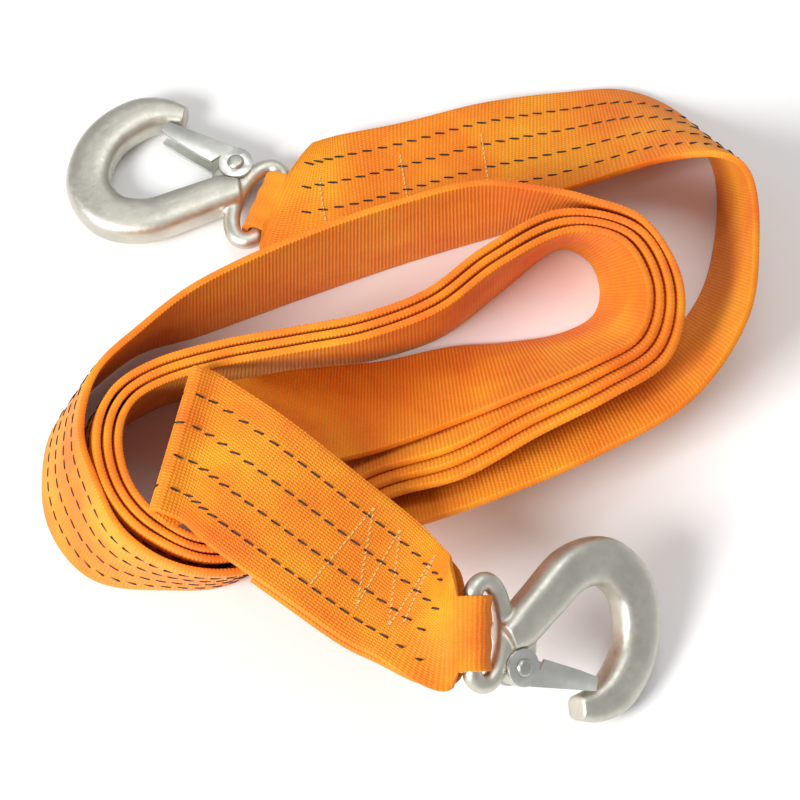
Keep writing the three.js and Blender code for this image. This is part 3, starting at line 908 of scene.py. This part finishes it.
class STRAP_OT_stage(bpy.types.Operator):
    """Set the floor, the soft lights and the camera"""

    bl_idname = "strap.stage"
    bl_label = "Stage"

    def execute(self, context):
        settings = context.scene.strap_stage
        scene = context.scene
        corners = np.array([[-1, -1, 0], [1, -1, 0], [1, 1, 0], [-1, 1, 0]]) * FLOOR_SIDE * 0.5
        corners[:, 2] = FLOOR_LEVEL
        floor = mesh_object("floor", corners, [np.arange(4)[None]])
        mat, _, shader = new_material("pale floor")
        shader.inputs["Base Color"].default_value = (*settings.floor, 1.0)
        shader.inputs["Roughness"].default_value = 0.9
        floor.data.materials.append(mat)
        world = scene.world or bpy.data.worlds.new("studio")
        scene.world = world
        world.use_nodes = True
        sky = world.node_tree.nodes["Background"]
        sky.inputs["Color"].default_value = (1, 1, 1, 1)
        sky.inputs["Strength"].default_value = SKY
        for name, place, power, size in LIGHTS:
            lamp = bpy.data.lights.new(name, "AREA")
            lamp.energy = power
            lamp.size = size
            obj = bpy.data.objects.new(name, lamp)
            obj.location = place
            obj.rotation_euler = (-Vector(place)).to_track_quat("-Z", "Y").to_euler()
            scene.collection.objects.link(obj)
        scene.view_settings.view_transform = "Standard"
        camera = bpy.data.cameras.new("camera")
        camera.lens = settings.lens
        camera.sensor_width = 36
        obj = bpy.data.objects.new("camera", camera)
        aim = Vector(TO_ORIGIN * MM)
        back = Vector((0, -math.cos(settings.elevation), math.sin(settings.elevation)))
        obj.location = aim + back * settings.distance
        obj.rotation_euler = (-back).to_track_quat("-Z", "Y").to_euler()
        scene.collection.objects.link(obj)
        scene.camera = obj
        return {"FINISHED"}


class STRAP_PT_panel(bpy.types.Panel):
    """Lists the strap's pieces"""

    bl_idname = "STRAP_PT_panel"
    bl_label = "Tow strap"
    bl_space_type = "VIEW_3D"
    bl_region_type = "UI"
    bl_category = "Tow strap"

    def draw(self, context):
        for setting in GROUPS:
            group = getattr(context.scene, setting)
            for key in group.__annotations__:
                self.layout.prop(group, key)
        for operator in STEPS:
            self.layout.operator(operator.bl_idname)


STEPS = (STRAP_OT_stage, STRAP_OT_webbing, STRAP_OT_stitching, STRAP_OT_hooks, STRAP_OT_latches)
GROUPS = {
    "strap_webbing": WebbingSettings,
    "strap_stitches": StitchSettings,
    "strap_hooks": HookSettings,
    "strap_stage": StageSettings,
}


def register():
    for cls in (*GROUPS.values(), *STEPS, STRAP_PT_panel):
        bpy.utils.register_class(cls)
    for name, cls in GROUPS.items():
        setattr(bpy.types.Scene, name, PointerProperty(type=cls))


def unregister():
    for name in GROUPS:
        delattr(bpy.types.Scene, name)
    for cls in reversed((*GROUPS.values(), *STEPS, STRAP_PT_panel)):
        bpy.utils.unregister_class(cls)


def main():
    register()
    bpy.ops.strap.stage()
    bpy.ops.strap.webbing()
    bpy.ops.strap.stitching()
    bpy.ops.strap.hooks()
    bpy.ops.strap.latches()
    bpy.context.view_layer.update()


if __name__ == "__main__":
    main()
